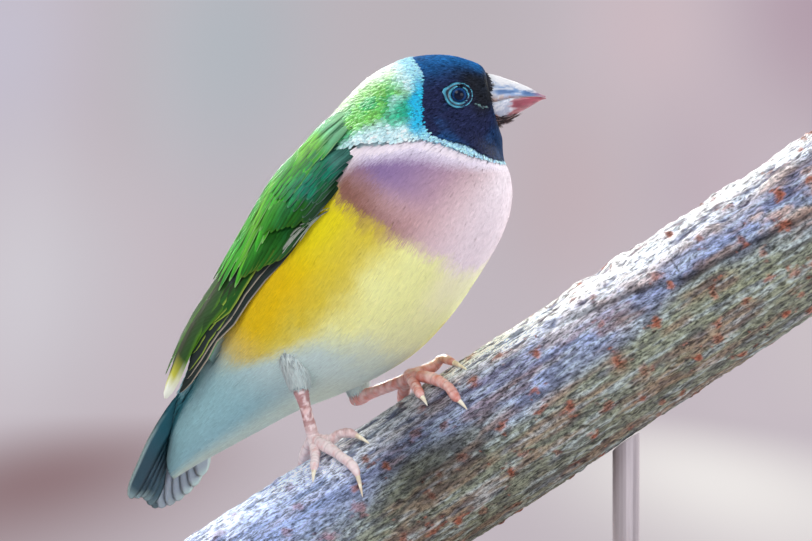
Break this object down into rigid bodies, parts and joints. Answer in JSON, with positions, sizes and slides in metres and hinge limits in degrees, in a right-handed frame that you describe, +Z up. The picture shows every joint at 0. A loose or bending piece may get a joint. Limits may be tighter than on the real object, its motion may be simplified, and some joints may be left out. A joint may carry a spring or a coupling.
{
  "type": "gouldian finch on a perch",
  "caption": "Still, life-size model of a Gouldian finch, upright with its head in profile, gripping a sloping length of branch on a plain rod stand",
  "frame": {"origin": "centre of the underside of the stand's base", "axes": "+X the way the bill points, +Z up, +Y away from the bird's seen side"},
  "size_m": [0.1502, 0.084, 0.1323],
  "materials": {
    "black_plumage": "short glossy black feathers with a blue sheen",
    "neck_plumage": "short yellow-green and turquoise feathers",
    "body_plumage": "soft lilac and yellow feathers",
    "green_plumage": "grass-green feathers, dark flight feathers",
    "tail_plumage": "dark tail feathers under white and blue coverts",
    "white_plumage": "soft white feathers",
    "eye": "wet, dark",
    "bill_upper": "smooth horn, bluish white",
    "bill_lower": "smooth horn, pink",
    "leg": "scaly pink skin",
    "bark": "rough bark with small raised pores",
    "base": "smooth dark wood",
    "rod": "plain metal rod"
  },
  "bodies": {
    "root": {"head": "black_plumage", "bill_upper": "bill_upper", "bill_lower": "bill_lower", "eye_right": "eye", "eye_left": "eye", "neck": "neck_plumage", "torso": "body_plumage", "wing_right": "green_plumage", "wing_left": "green_plumage", "tail": "tail_plumage", "thigh_right": "white_plumage", "thigh_left": "white_plumage", "tarsus_right": "leg", "tarsus_left": "leg", "foot_right": "leg", "foot_left": "leg", "perch": "bark", "stand_base": "base", "stand_rod_left": "rod", "stand_rod_right": "rod"}
  },
  "joints": []
}
